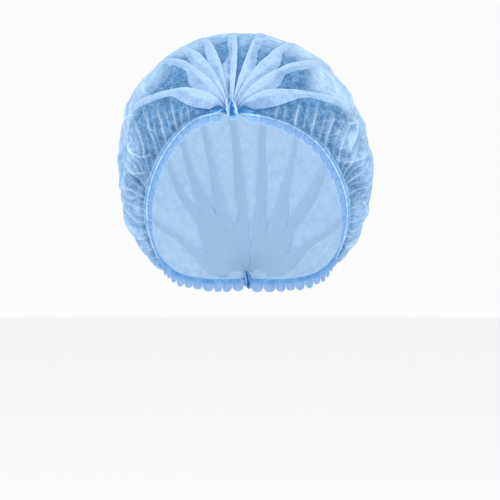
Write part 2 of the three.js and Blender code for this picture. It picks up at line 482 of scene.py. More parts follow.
def spunbond_group() -> bpy.types.NodeTree:
    """The look of thin spunbond cloth, shared by every finish here.

    Its inputs are a place in metres and the fibres' size in millimetres. It puts out Fibre, the pale random
    strands, as thin lines along the middle values of several noises; Cloud, where the web is thicker; Speck,
    its small thin spots; and Height, for a Bump node.
    """
    tree = bpy.data.node_groups.new("spunbond_web", "ShaderNodeTree")
    graph = Graph(tree)
    tree.interface.new_socket("Place", in_out="INPUT", socket_type="NodeSocketVector")
    tree.interface.new_socket("Size", in_out="INPUT", socket_type="NodeSocketFloat").default_value = 1.0
    for name in ("Fibre", "Cloud", "Speck", "Height"):
        tree.interface.new_socket(name, in_out="OUTPUT", socket_type="NodeSocketFloat")
    start = graph.add("NodeGroupInput")
    per_size = graph.math("DIVIDE", 1.0 / METRES, start.outputs["Size"])
    place = graph.add(
        "ShaderNodeVectorMath", {0: start.outputs["Place"], "Scale": per_size}, operation="SCALE"
    ).outputs[0]
    strands = 0.0
    for scale, thin, turn in STRAND_LAYERS:
        turning = {"Vector": place, "Rotation": turn, "Location": turn}
        turned = graph.add("ShaderNodeMapping", turning).outputs[0]
        value = graph.noise(turned, scale, 1.5, 0.45)
        away = graph.math("ABSOLUTE", graph.math("SUBTRACT", value, 0.5))
        strands = graph.math("MAXIMUM", strands, graph.range(away, 0.0, thin, (1.0, 0.0)))
    broken = graph.range(graph.noise(place, 0.22, 2.0), 0.38, 0.6)
    fibre = graph.math("MULTIPLY", strands, broken)
    cloud = graph.range(graph.noise(place, 0.16, 3.0, 0.6), 0.32, 0.68)
    speck = graph.range(graph.noise(place, 0.6, 3.0, 0.7), 0.5, 0.59)
    fine = graph.noise(place, 1.6, 2.0, 0.6)
    height = graph.math("ADD", graph.math("MULTIPLY", fibre, 0.5), graph.math("MULTIPLY", fine, 0.5))
    graph.add("NodeGroupOutput", {"Fibre": fibre, "Cloud": cloud, "Speck": speck, "Height": height})
    return tree

@dataclass(frozen=True)
class Nonwoven:
    """A finish of spunbond cloth. Masks say where it is folded, where highlights and shade are painted, and
    where it is loose.

    The loose values show only where the mask loose is above 0, which is on the crown alone.
    """

    name: str
    thin_dark: Colour
    thin_light: Colour
    fibre: Colour
    folded: Colour
    folded_shade: Colour
    # crest colours the pale fibres on folds and the painted highlights; the next colour is the painted shade.
    crest: Colour
    deep: Colour
    thin_alpha: float
    folded_alpha: float
    loose_dark: Colour = (0.19, 0.42, 0.72)
    loose_light: Colour = (0.57, 0.78, 0.96)
    loose_alpha: float = 0.80
    loose_specks: float = 0.12
    spot: Colour = (0.02, 0.07, 0.17)
    folded_speck: Colour = (0.25, 0.46, 0.76)
    folded_speck_share: float = 0.5
    folded_fibre_share: float = 0.4
    inner: Colour = (0.56, 0.78, 0.97)
    inner_shade: Colour = (0.40, 0.63, 0.88)
    # Folds seen from inside are painted paler, as painted light that offsets their shade.
    inner_fold_painted_light: Colour = (0.76, 0.91, 1.0)
    inner_fibre_share: float = 0.8
    inner_cloud_share: float = 0.6
    inner_share: float = 0.0
    speck_share: float = 0.0
    fibre_share: float = 0.55
    fibre_alpha: float = 0.97
    fibre_size: float = 1.0
    roughness: float = 0.72
    specular: float = 0.25
    bump: float = 0.25
    bump_height: float = 0.0003
    glow: float = 0.22

    def material(self, group: bpy.types.NodeTree) -> Material:
        """Builds the material.

        Args:
            group: the shared spunbond group.

        Returns:
            A Principled shader mixed with a share of Translucent.
        """
        material = bpy.data.materials.new(self.name)
        material.use_nodes = True
        graph = Graph(material.node_tree)
        place = graph.add("ShaderNodeTexCoord").outputs["Object"]
        web = graph.add("ShaderNodeGroup", node_tree=group)
        graph.tree.links.new(place, web.inputs["Place"])
        web.inputs["Size"].default_value = self.fibre_size
        fibre, cloud, speck, height = (web.outputs[name] for name in ("Fibre", "Cloud", "Speck", "Height"))
        fold, crease_highlight, deep, loose = (graph.mask(name) for name in ("fold", "crease_highlight", "deep", "loose"))

        def scaled(value: Socket, share: object) -> Socket:
            """A value times a share."""
            return graph.math("MULTIPLY", value, share)

        # One layer: thin or loose, with specks and fibres.
        thin = graph.mix(cloud, self.thin_dark, self.thin_light)
        slack = graph.mix(cloud, self.loose_dark, self.loose_light)
        specks = graph.range(loose, 0.0, 1.0, (self.speck_share, self.speck_share * self.loose_specks))
        single = graph.mix(scaled(speck, specks), graph.mix(loose, thin, slack), self.spot)
        single = graph.mix(scaled(fibre, self.fibre_share), single, self.fibre)
        # Several layers, then the painted highlights along fold edges, ridges and rims, and the painted shade
        # in hollows and under folds.
        folded = graph.mix(cloud, self.folded_shade, self.folded)
        folded = graph.mix(scaled(speck, self.folded_speck_share), folded, self.folded_speck)
        folded = graph.mix(scaled(fibre, self.folded_fibre_share), folded, self.crest)
        colour = graph.mix(fold, single, folded)
        # Pale lines along fold edges, ridges and rims: painted highlight, partly the real thickness of cloth
        # seen edge-on.
        colour = graph.mix(crease_highlight, colour, self.crest)
        colour = graph.mix(deep, colour, self.deep)
        # The inside of the cap; its folds are painted paler, as painted light that offsets their shade.
        inside = graph.add("ShaderNodeNewGeometry").outputs["Backfacing"]
        lining = graph.mix(scaled(fibre, self.inner_fibre_share), self.inner_shade, self.inner)
        lining = graph.mix(scaled(cloud, self.inner_cloud_share), lining, self.inner)
        lining = graph.mix(fold, lining, self.inner_fold_painted_light)
        colour = graph.mix(scaled(inside, self.inner_share), colour, lining)
        web_alpha = graph.blend(loose, self.thin_alpha, self.loose_alpha)
        web_alpha = graph.math("MAXIMUM", web_alpha, scaled(fibre, self.fibre_alpha))
        alpha = graph.blend(graph.math("MAXIMUM", fold, crease_highlight), web_alpha, self.folded_alpha)
        bumps = {"Strength": self.bump, "Distance": self.bump_height, "Height": height}
        bump = graph.add("ShaderNodeBump", bumps).outputs[0]
        looks = {
            "Base Color": colour,
            "Roughness": self.roughness,
            "Alpha": alpha,
            "Normal": bump,
            "Specular IOR Level": self.specular,
        }
        shader = graph.add("ShaderNodeBsdfPrincipled", looks)
        through = graph.add("ShaderNodeBsdfTranslucent", {"Color": colour, "Normal": bump})
        both = graph.add("ShaderNodeMixShader", {0: self.glow, 1: shader.outputs[0], 2: through.outputs[0]})
        graph.add("ShaderNodeOutputMaterial", {"Surface": both.outputs[0]})
        return material


# In each finish, crest is the pale of fibres on folds and also the painted highlight, and the colour after
# crest is the painted shade.
CROWN_FINISH = Nonwoven(
    name="crown_nonwoven",
    thin_dark=(0.028, 0.135, 0.29),
    thin_light=(0.11, 0.30, 0.54),
    fibre=(0.31, 0.59, 0.88),
    folded=(0.49, 0.68, 0.89),
    folded_shade=(0.36, 0.57, 0.83),
    crest=(0.60, 0.79, 0.96),
    deep=(0.03, 0.15, 0.40),
    thin_alpha=0.93,
    folded_alpha=0.97,
    inner_share=0.85,
    speck_share=0.8,
    glow=0.28,
)
WELT_FINISH = Nonwoven(
    name="welt_nonwoven",
    thin_dark=(0.09, 0.32, 0.66),
    thin_light=(0.17, 0.42, 0.76),
    fibre=(0.34, 0.60, 0.88),
    folded=(0.34, 0.60, 0.88),
    folded_shade=(0.26, 0.50, 0.82),
    crest=(0.54, 0.80, 0.98),
    deep=(0.02, 0.15, 0.42),
    thin_alpha=0.97,
    folded_alpha=1.0,
    glow=0.05,
)
RUFFLE_FINISH = Nonwoven(
    name="ruffle_nonwoven",
    thin_dark=(0.17, 0.36, 0.68),
    thin_light=(0.24, 0.44, 0.76),
    fibre=(0.38, 0.58, 0.86),
    folded=(0.33, 0.55, 0.84),
    folded_shade=(0.26, 0.48, 0.80),
    crest=(0.48, 0.70, 0.93),
    deep=(0.07, 0.26, 0.58),
    thin_alpha=0.86,
    folded_alpha=0.95,
)
KNOT_FINISH = Nonwoven(
    name="knot_nonwoven",
    thin_dark=(0.05, 0.22, 0.56),
    thin_light=(0.12, 0.34, 0.70),
    fibre=(0.28, 0.52, 0.84),
    folded=(0.36, 0.62, 0.90),
    folded_shade=(0.20, 0.46, 0.82),
    crest=(0.44, 0.68, 0.92),
    deep=(0.012, 0.105, 0.34),
    thin_alpha=1.0,
    folded_alpha=1.0,
    glow=0.05,
)


# ------------------------------------------------------------------------------------------ crown


@dataclass(frozen=True)
class Pleat:
    """A Z-shaped fold that runs from knot to knot, three layers thick. Its sizes are degrees.

    The fold that shows starts at the fan angle root and nears the angle settled as exp(-distance / bend). By
    the knot the fold beneath the cloth lies against the next pleat out. Between the two distances of parted
    it draws in, until the pleat is behind degrees of fan wide. Angles are measured away from the middle.
    """

    root: float
    settled: float
    parted: Pair
    behind: float
    bend: float = 18.0


OUTER_TO_INNER: dict[Side, tuple[Pleat, ...]] = {
    Side.RIGHT: (
        Pleat(root=30.0, settled=67.0, parted=(12.0, 32.0), behind=6.0),
        Pleat(root=21.0, settled=38.0, parted=(17.0, 32.0), behind=6.0),
        Pleat(root=12.0, settled=27.0, parted=(28.0, 46.0), behind=6.0),
        Pleat(root=8.0, settled=16.0, parted=(24.0, 44.0), behind=5.0),
        Pleat(root=-8.0, settled=3.0, parted=(22.0, 30.0), behind=6.0, bend=20.0),
    ),
    Side.LEFT: (
        Pleat(root=30.0, settled=68.0, parted=(12.0, 32.0), behind=6.0),
        Pleat(root=23.0, settled=38.0, parted=(17.0, 29.0), behind=7.0),
        Pleat(root=14.0, settled=22.0, parted=(25.0, 40.0), behind=5.0),
        Pleat(root=8.0, settled=7.0, parted=(20.0, 34.0), behind=6.0),
    ),
}


STRAND_VALUES = ("fan", "lift", "fold", "crisp", "shade")


@dataclass
class Strands:
    """A stretch of the cloth's width at every row: arrays of rows x columns.

    fan is where it lies and lift how high; fold, crisp and shade are masks of the layers in a pleat, of the
    fold that shows, along which a highlight is painted, and of the cloth that it shades, where shade is
    painted.
    """

    fan: Array
    lift: Array
    fold: Array
    crisp: Array
    shade: Array

    @classmethod
    def run(
        cls,
        start: Array,
        end: Array,
        count: int,
        lift: tuple[Array | float, Array | float] = (0.0, 0.0),
        fold: float = 0.0,
    ) -> "Strands":
        """A straight run of columns.

        Args:
            start: the first fan angle of each row.
            end: the last one.
            count: how many columns.
            lift: the heights at start and at end.
            fold: the mask fold.

        Returns:
            The stretch, neither crisp nor shaded.
        """
        share = np.linspace(0.0, 1.0, count)[None, :]
        low, high = (per_row(np.broadcast_to(value, start.shape)) for value in lift)
        fan = blend(per_row(start), per_row(end), share)
        zeros = np.zeros_like(fan)
        return cls(fan, blend(low, high, share), zeros + fold, zeros.copy(), zeros)

    def each(self, change: Callable[[Array], Array]) -> "Strands":
        """The strands with every array changed in one way."""
        return Strands(*(change(getattr(self, name)) for name in STRAND_VALUES))

    @staticmethod
    def joined(parts: Sequence["Strands"]) -> "Strands":
        """The stretches, side by side."""
        return Strands(*(np.hstack([getattr(part, name) for part in parts]) for name in STRAND_VALUES))


@dataclass(frozen=True)
class Gathers:
    """The sharp puckers that rise from the elastic and run up the cloth.

    In front, puckers stand first + step * k + widening * k^2 degrees from the knot, a weak one and a strong
    one by turns. Away from its waist each swings to the nearer temple by rate * waist * (share - waist)^2.
    """

    first_left: float = 14.0
    first_right: float = 15.0
    step: float = 3.2
    widening: float = 0.055
    front_count: int = 20
    jitter: float = 0.7
    weak: float = 0.5
    least: float = 0.85
    by_knot: float = 0.6
    by_knot_deg: Pair = (14.0, 28.0)
    tallest: float = 1.2
    shortest: float = 0.75
    shorter_deg: Pair = (48.0, 80.0)
    weak_tall: float = 0.8
    rate_left: float = 0.62
    rate_right: float = 0.8
    waist_share: Pair = (0.7, 0.3)
    waist_deg: Pair = (45.0, 78.0)
    turned_deg: Pair = (72.0, 115.0)
    straight_from: float = 1.5
    rear_from: float = 102.0
    rear_to: float = 172.0
    rear_step: float = 5.4
    rear_jitter: float = 1.6
    rear_strength: Pair = (0.5, 1.0)
    rear_tall: Pair = (0.4, 0.9)
    height: float = 1.2
    crest: float = 0.9
    foot: Pair = (0.35, 3.2)
    glints: tuple[Pair, ...] = ((0.75, 0.5), (0.3, 2.2))
    waver: float = 0.25
    fade_from: float = 0.55
    reach: float = 105.0
    seed: int = 5

    def front_half(self, side: Side) -> Array:
        """The front puckers: rows of waist in degrees, strength, and how far up the cloth each goes."""
        rng = np.random.default_rng(self.seed + 20 + side.value)
        order = np.arange(self.front_count)
        first = side.pick(self.first_left, self.first_right)
        waist = first + self.step * order + self.widening * order**2
        waist = waist + rng.uniform(-self.jitter, self.jitter, self.front_count)
        strong = np.where(order % 2 == 1, 1.0, self.weak)
        strength = strong * rng.uniform(self.least, 1.0, self.front_count)
        strength = strength * blend(self.by_knot, 1.0, smooth(waist, *self.by_knot_deg))
        tall = blend(self.tallest, self.shortest, smooth(waist, *self.shorter_deg))
        return np.stack([waist, strength, tall * blend(self.weak_tall, 1.0, strong)], -1)

    def rear_half(self, side: Side) -> Array:
        """The same for the rear half, at random."""
        rng = np.random.default_rng(self.seed + side.value)
        starts = np.arange(self.rear_from, self.rear_to, self.rear_step)
        count = len(starts)
        waist = starts + rng.uniform(-self.rear_jitter, self.rear_jitter, count)
        strength = rng.uniform(*self.rear_strength, count)
        return np.stack([waist, strength, rng.uniform(*self.rear_tall, count)], -1)

    def relief(self, side: Side, share: Array, along: Array) -> tuple[Array, Array]:
        """Adds up the puckers of one side.

        Args:
            side: which side.
            share: how far up from the hem.
            along: angles along.

        Returns:
            The height, which falls off from each crest as exp(-distance / crest width), and the mask of the
            painted glints along the crests.
        """
        height, crest = np.zeros_like(share), np.zeros_like(share)
        rate = side.pick(self.rate_left, self.rate_right)
        puckers = np.vstack([self.front_half(side), self.rear_half(side)])
        foot_height, foot_reach = self.foot
        for number, (waist, strength, top) in enumerate(puckers):
            turned = float(smooth(waist, *self.turned_deg))
            swing = math.radians(rate * (waist * (1.0 - turned) - (180.0 - waist) * turned))
            middle = float(blend(*self.waist_share, smooth(waist, *self.waist_deg)))
            line = math.radians(waist) + swing * (np.minimum(share, self.straight_from) - middle) ** 2
            away = (along - line) * self.reach + self.waver * wander(share * 6.0, 300 + number)
            fade = strength * (1.0 - smooth(share, self.fade_from * top, top))
            ridge = np.exp(-np.abs(away) / self.crest) + foot_height * peak(away, 0.0, foot_reach)
            height += self.height * fade * ridge
            # Painted glints: a narrow and a wide pale line along each crest.
            glint = sum(bright * peak(away, 0.0, wide) for bright, wide in self.glints)
            crest = np.maximum(crest, fade * glint)
        return height, crest


@dataclass(frozen=True)
class Rows:
    """The rows of a crown mesh, as arrays: the angle along, and how far it is from the nearer knot.

    reach is millimetres for each radian of fan, taken half a radian out from the middle.
    """

    along: Array
    near: Array
    degrees: Array
    reach: Array

    @classmethod
    def at(cls, envelope: Envelope, along: Array) -> "Rows":
        """The rows at these angles."""
        near = envelope.from_knot(along)
        return cls(along, near, np.degrees(near), envelope.reach(np.full_like(along, 0.5), along))


@dataclass(frozen=True)
class Crown:
    """The pleated cap. The strip is cut where the outermost pleats fold under, into a top and two sides.

    Names that end in _deg are degrees of fan, or pairs of degrees from the knot that a value fades between.
    Gaps and heights are millimetres.
    """

    envelope: Envelope
    seat: Seat
    gathers: Gathers = Gathers()
    start: float = math.radians(0.8)
    rows: int = 290
    row_growth: float = 0.14
    base_height: float = 0.6
    height_per_width: float = 0.11
    widest: float = 14.0
    middle_share: float = 0.42
    rise_share: float = 0.55
    shade_reach: float = 1.3
    shade_size: Pair = (0.35, 1.1)
    shade_deg: Pair = (6.0, 22.0)
    least_width: float = 1.2
    soft: float = 0.45
    overlap: float = 0.1
    tuck: float = 1.0
    crumple: float = 2.4
    crumple_size: float = 19.0
    hem_columns: int = 44
    side_columns: int = 14
    run_columns: int = 14
    top_columns: int = 11
    under_columns: int = 4
    slit_fan: float = math.radians(-6.2)
    slit_depth: float = 0.7
    slit_reach: float = 0.7
    lowest_deg: float = 83.0
    wedge: Triple = (33.0, 5.5, 9.0)
    narrowing: Triple = (0.45, 32.0, 60.0)
    middle: tuple[float, float, float, float] = (8.0, 2.5, 8.0, 24.0)
    paler_deg: Pair = (38.0, 66.0)

    def edges(self, pleat: Pleat, side: Side, number: int, rows: Rows, before: Array) -> tuple[Array, Array]:
        """Finds a pleat's two edges.

        Args:
            pleat: the pleat.
            side: which half it is in.
            number: its place, from the outermost one.
            rows: the rows.
            before: the fan angles of what lies next to it on the outside, by the knots.

        Returns:
            The fan angles of the fold that shows and of the hidden one, measured from the middle outwards.
        """
        rear = smooth(rows.along, 1.4, 1.9) * np.sin(rows.along)
        seed = 10 * number + side.pick(5, 0)
        sway = 0.25 * wander(rows.along * 14.0, seed) + 1.6 * rear * wander(rows.along * 4.0, seed + 1)
        sway = sway / rows.reach * np.sin(rows.along)
        settling = np.exp(-rows.degrees / pleat.bend)
        inner = np.radians(pleat.settled + (pleat.root - pleat.settled) * settling) + sway
        share, start, end = self.narrowing
        width = np.radians(pleat.behind) * blend(1.0, share, smooth(rows.degrees, start, end))
        outer = blend(before, inner + width, smooth(rows.degrees, *pleat.parted))
        return inner, np.maximum(outer, inner + self.least_width / rows.reach)

    def height(self, rows: Rows, width: Array, seed: int) -> Array:
        """How high a pleat stands: higher where it is wide, and flat by the knots."""
        tall = self.base_height + self.height_per_width * np.minimum(width, self.widest)
        tall = tall * (1.0 + 0.3 * wander(rows.along * 7.0, seed))
        tall = tall * blend(0.25, 1.0, smooth(rows.near, 0.02, 0.14))
        return tall * blend(1.0, 0.6, smooth(rows.near, 0.6, 0.95))

    def from_hem(self, rows: Rows, outer: Array, rise: Array) -> list[Strands]:
        """The loose cloth, from the hem up to the outermost pleat's hidden fold, and in its shade."""
        full, swell = self.envelope.fan, self.envelope.swell_share
        turn = np.linspace(0.0, math.pi / 2, self.hem_columns)[None, :]
        swelled = full * (1.0 - swell * (1.0 - np.cos(turn)))
        limit = np.maximum(per_row(outer) + 0.02, 0.0)
        fan = full - (full - swelled) * np.minimum(1.0, (full - limit) / (full * swell))
        zeros = np.zeros_like(fan)
        parts = [
            Strands(fan, zeros, zeros, zeros, zeros),
            Strands.run(fan[:, -1] - 0.004, outer, self.side_columns, (0.0, rise)),
        ]
        start, end = np.radians(self.shade_deg)
        size = per_row(blend(*self.shade_size, 1.0 - smooth(rows.near, start, end)))
        for part in parts:
            gap = (part.fan - per_row(outer)) * per_row(rows.reach)
            part.shade = size * np.exp(-gap / (self.shade_reach * size))
        return parts

    def single(
        self, rows: Rows, hidden: Array, fold_end: Array, start: Array, end: Array, lift: tuple, count: int
    ) -> list[Strands]:
        """The cloth between two pleats: what lies beneath the fold, then one layer, in the fold's shade.

        Args:
            rows: the rows.
            hidden: where the pleat's hidden fold ends.
            fold_end: the edge of the fold above, where the shade is darkest.
            start: where the single layer starts.
            end: where it ends.
            lift: its heights at start and end.
            count: its columns.

        Returns:
            The two stretches.
        """
        below = Strands.run(hidden, fold_end, self.under_columns, fold=1.0)
        layer = Strands.run(start, end, count, lift)
        gap = (per_row(fold_end) - layer.fan) * per_row(rows.reach)
        layer.shade = np.exp(-gap / self.shade_reach)
        return [below, layer]

    def pleat(
        self, rows: Rows, start: Array, inner: Array, outer: Array, hidden: Array, tall: Array, seed: int
    ) -> list[Strands]:
        """A pleat's layers.

        Args:
            rows: the rows.
            start: where the cloth on top begins.
            inner: the fold that shows.
            outer: the hidden fold.
            hidden: how far back the layer beneath runs.
            tall: the pleat's height.
            seed: of its own random lines.

        Returns:
            The cloth on top, whose last column is the crisp fold; its turn; the layer that runs back beneath;
            and the turn at the hidden fold.
        """
        along, reach, under = rows.along, per_row(rows.reach), tall * self.middle_share
        lifts = (tall * self.rise_share, tall)
        top = Strands.run(start - 0.4 / rows.reach, inner, self.top_columns, lifts, fold=1.0)
        away = top.fan - per_row(inner)
        over = per_row(smooth(rows.near, *np.radians(self.paler_deg)))
        # A painted highlight along the fold that shows, weaker towards the top; partly the real thickness of
        # cloth seen edge-on.
        top.crisp = np.exp(-away / per_row(self.soft / rows.reach)) * (1.0 - 0.7 * over)
        # The band's part away from its crisp fold takes less of the folded colour: partly the hidden layer's
        # edge seen through, partly painted shade of the band's roll.
        inside = per_row(0.45 + 0.2 * wander(along * 5.0, seed + 3))
        layer_and_roll_shade = per_row(0.74 + 0.16 * wander(along * 9.0, seed + 4))
        top.fold = blend(1.0, layer_and_roll_shade, smooth(away / per_row(outer - inner) - inside, -0.08, 0.08))
        top.fold *= 1.0 - over * (0.5 + 0.12 * per_row(wander(along * 6.0, seed + 6)))
        turn = np.linspace(0.0, math.pi, 7)[None, 1:-1]
        half = per_row((tall - under) / 2)
        tip = per_row(inner) - half / reach * np.sin(turn)
        ones = np.ones_like(tip)
        edge = Strands(tip, per_row((tall + under) / 2) + half * np.cos(turn), ones, ones, 0 * ones)
        back = Strands.run(inner, hidden, self.under_columns, (under, under), fold=1.0)
        turn = np.linspace(0.0, math.pi, 5)[None, 1:-1]
        tip = per_row(hidden) + per_row(under) / 2 / reach * np.sin(turn)
        heel = Strands(tip, per_row(under / 2) * (1 + np.cos(turn)), np.ones_like(tip), 0 * tip, 0 * tip)
        return [top, edge, back, heel]

    def half(self, side: Side, along: Array) -> tuple[Strands, int]:
        """One half of the cloth's width, from the hem in to the middle.

        Args:
            side: which half; its fan angles come out positive towards its hem.
            along: one value for each row.

        Returns:
            The strands, and the column of the first pleat's hidden fold.
        """
        rows = Rows.at(self.envelope, along)
        gap = self.overlap / rows.reach
        drawn_in, start, end = self.wedge
        below = np.radians(self.lowest_deg - drawn_in * (1.0 - smooth(rows.degrees, start, end)))
        parts: list[Strands] = []
        cut, last_hidden = 0, below
        for number, pleat in enumerate(OUTER_TO_INNER[side]):
            inner, outer = self.edges(pleat, side, number, rows, below)
            seed = 40 + 10 * number + side.value
            tall = self.height(rows, (outer - inner) * rows.reach, seed)
            rise = tall * self.rise_share
            if number == 0:
                parts += self.from_hem(rows, outer, rise)
                hidden = np.maximum(outer - self.tuck / rows.reach, inner + 0.4 / rows.reach)
                parts += self.pleat(rows, outer, inner, outer, hidden, tall, seed)
                cut = sum(part.fan.shape[1] for part in parts) - 1
            else:
                first = np.where(below > outer, below, (below + outer) / 2)
                second = np.where(below > outer, outer, first - gap)
                first = np.minimum(first, last_hidden - gap)
                from_fold = last_hidden - 0.02 / rows.reach
                from_edge = first - 0.15 / rows.reach
                lifts = (0.0, rise)
                parts += self.single(rows, from_fold, first, from_edge, second, lifts, self.run_columns)
                hidden = np.maximum(outer, inner + 0.4 / rows.reach)
                parts += self.pleat(rows, second, inner, outer, hidden, tall, seed)
            below, last_hidden = inner, hidden
        by_knot, behind, start, end = self.middle
        stop = np.radians(blend(by_knot, behind, smooth(rows.degrees, start, end)))
        stop = np.minimum(side.pick(stop, -stop), last_hidden - 1.0 / rows.reach)
        under = np.maximum(below, stop + gap)
        parts += self.single(rows, last_hidden, under, under - gap, stop, (0.0, 0.0), 6)
        return Strands.joined(parts), cut

    def crumples(self, fan: Array, along: Array) -> Array:
        """The crumples' height: flat facets of two sizes, larger where the cloth is loose."""
        share = self.envelope.share(fan)
        size = self.crumple_size
        u, v = fan * 100.0 * np.sin(along) / size, along * 105.0 / size
        bend = 0.35 * facets(u * 0.8 + 9.1, v * 0.8, 11)
        big = facets(u + bend, v - bend, 3)
        small = facets(u * 1.8 - bend, v * 1.8 + bend, 4)
        loose = smooth(np.sin(along), 0.3, 0.9) * blend(0.62, 1.0, smooth(np.abs(fan), 0.5, 1.1))
        near = peak(self.envelope.from_knot(along), 0.0, math.radians(10.0))
        near = near * blend(1.0, 0.35, smooth(np.abs(fan), 0.5, 0.9))
        streaks = wander(fan * 22.0 + 0.6 * wander(along * 9.0, 21), 22) + 0.6 * wander(fan * 47.0, 23)
        crumples = self.crumple * loose * smooth(share, 0.0, 0.4) * (big + 0.3 * small)
        return crumples + 0.3 * near * smooth(np.sin(along), 0.03, 0.16) * streaks

    def ridges(self, height: Array, fan: Array, along: Array) -> Array:
        """How sharply the crumples stand up (above 0) or sink in (below 0), about a millimetre each way."""
        step = 1.0 / 105.0
        wide = step / np.maximum(np.sin(along), 0.2)
        around = (
            self.crumples(fan + wide, along)
            + self.crumples(fan - wide, along)
            + self.crumples(fan, along + step)
            + self.crumples(fan, along - step)
        )
        return 4.0 * height - around

    def slack(self, fan: Array, along: Array, share: Array, crumples: Array) -> Array:
        """The mask of loose cloth: behind the temples and up from the hem, paler on the crumples."""
        degrees = np.degrees(along)
        above_hem = smooth(degrees, 70.0, 88.0) * smooth(share, 0.02, 0.2)
        above_hem = np.maximum(smooth(share, 0.25, 0.6), above_hem)
        uneven = 5.0 * wander(fan * 5.0 + 0.5 * wander(along * 4.0, 51), 50)
        top = 1.0 - smooth(np.abs(np.degrees(fan)), 55.0, 75.0)
        loose = smooth(degrees + 5.0 * (fan > 0) + uneven, 43.0 - 8.0 * top, 60.0 - 6.0 * top)
        loose = loose * (1.0 - 0.25 * smooth(degrees, 110.0, 140.0)) * above_hem
        return loose * blend(0.78, 1.0, smooth(crumples, 0.1, 0.5 * self.crumple))

    def surface(self, strands: Strands, along: Array) -> tuple[Array, dict[str, Array], Array]:
        """Places the strands: the smooth surface, plus lift, crumples and gathers along its normal.

        Args:
            strands: columns with signed fan angles.
            along: one value for each row.

        Returns:
            The points in metres, the masks, and the cloth's own places.
        """
        fan, rows = strands.fan, np.broadcast_to(along[:, None], strands.fan.shape)
        envelope, near = self.envelope, self.envelope.from_knot(rows)
        share = envelope.share(fan)
        crumples = self.crumples(fan, rows)
        left, right = (self.gathers.relief(side, share, rows) for side in Side)
        gather, crest = (np.where(fan > 0, *values) for values in zip(left, right))
        slit = peak((fan - self.slit_fan) * envelope.reach(0 * fan, rows), 0.0, self.slit_reach)
        slit = slit * smooth(rows, 0.12, 0.2) * (1.0 - smooth(rows, 0.42, 0.52)) * (strands.fold > 0.5)
        height = crumples + gather * smooth(share, 0.0, 0.08)
        height = height + envelope.lumps(fan, rows) * smooth(share, 0.0, 0.5)
        height = strands.lift - self.slit_depth * slit + height
        points = envelope.cloth(fan, rows) + height[..., None] * envelope.normal(fan, rows)
        ridge = self.ridges(crumples, fan, rows)
        loose = self.slack(fan, rows, share, crumples)
        # A painted highlight on the loose sides above their swell, stronger on the wearer's left, which faces
        # away from the key lamp.
        side_highlight = smooth(share, 0.85, 1.15) * loose * (1.0 - smooth(share, 1.9, 2.3))
        # Painted shade: by the knot, most where the pleats lie low; in the single cloth near the knot; in the
        # slit; beside each fold; and in crumple valleys. Painted highlight on crumple ridges, fold edges and
        # gather crests.
        low = 1.0 - held(strands.lift / 1.2)
        pocket = (1.0 - strands.fold) * peak(near, 0.0, math.radians(13.0))
        bright = (1.3 + 2.4 * loose) * np.clip(ridge - 0.05, 0.0, 0.3) + (0.34 + 0.24 * (fan > 0)) * side_highlight
        dark = 0.8 * slit + 0.6 * pocket + 0.45 * strands.shade + 1.2 * np.clip(-ridge - 0.05, 0.0, 0.3)
        masks = {
            "fold": held(strands.fold),
            "crease_highlight": held(0.4 * strands.crisp + 0.8 * crest + bright),
            "deep": held(peak(near, 0.0, math.radians(6.5)) * (0.22 + 0.7 * low) + dark),
            "loose": loose,
        }
        return self.seat.to_row(points), masks, flat_map(fan * 125.0, rows * 108.0)

    def build(self, material: Material) -> list[Piece]:
        """Makes the top and the two sides."""
        span = np.linspace(0.0, 1.0, 2 * self.rows - 1)
        spread = (1.0 - self.row_growth) * span + self.row_growth * span**2
        along = blend(self.start, math.pi - self.start, spread)
        pieces, halves = [], {}
        for side in Side:
            strands, cut = self.half(side, along)
            strands.fan = strands.fan * side.value
            edge = strands.each(lambda values: values[:, :cut])
            outwards = side is Side.RIGHT
            piece = grid_mesh(f"crown_{side.label}", *self.surface(edge, along), outwards=outwards)
            pieces.append(mounted(piece, material, "nonwoven", "crown"))
            halves[side] = strands.each(lambda values: values[::2, cut - 1 :])
        left = halves[Side.LEFT].each(lambda values: values[:, ::-1])
        whole = Strands.joined([halves[Side.RIGHT], left.each(lambda values: values[:, 1:])])
        top = grid_mesh("crown_top", *self.surface(whole, along[::2]))
        return [mounted(top, material, "nonwoven", "crown"), *pieces]


# --------------------------------------------------------------------------- hem, ruffle and knots


@dataclass(frozen=True)
class HemWalk:
    """Equal steps along a hem: the length so far, the points, which way is down the cloth, and out of it."""

    length: Array
    points: Array
    down: Array
    face: Array


@dataclass(frozen=True)
class HemLine:
    """The hem of one side, and how the cloth hangs from it. Angles are radians."""

    envelope: Envelope
    side: Side
    inward: float = math.radians(10.0)
    brow: float = math.radians(27.0)
    temple: float = math.radians(34.0)
    temple_from: float = math.radians(105.0)
    temple_to: float = math.radians(150.0)
    fine_steps: int = 4000

    def walk(self, rows: int, front_deg: float, rear_deg: float) -> HemWalk:
        """Walks the hem.

        Args:
            rows: how many points.
            front_deg: how many degrees from the front knot it starts.
            rear_deg: how many degrees from the rear knot it ends.

        Returns:
            The steps.
        """
        fine = np.linspace(math.radians(front_deg), math.pi - math.radians(rear_deg), self.fine_steps)
        line = self.envelope.hem(self.side.value, fine)
        length = np.concatenate([[0.0], np.cumsum(np.linalg.norm(np.diff(line, axis=0), axis=-1))])
        walked = np.linspace(0.0, length[-1], rows)
        along = np.interp(walked, length, fine)
        points = self.envelope.hem(self.side.value, along)
        out = unit(points * np.array([1.0, 1.0, 0.0]))
        temple = self.temple * np.sin(along) ** 2 * smooth(-along, -self.temple_to, -self.temple_from)
        tilt = per_row(self.inward + self.brow * np.cos(along) + temple)
        down = np.array([0.0, 0.0, -1.0]) * np.cos(tilt) - out * np.sin(tilt)
        face = unit(out - down * np.sum(out * down, axis=-1, keepdims=True))
        return HemWalk(walked, points, down, face)


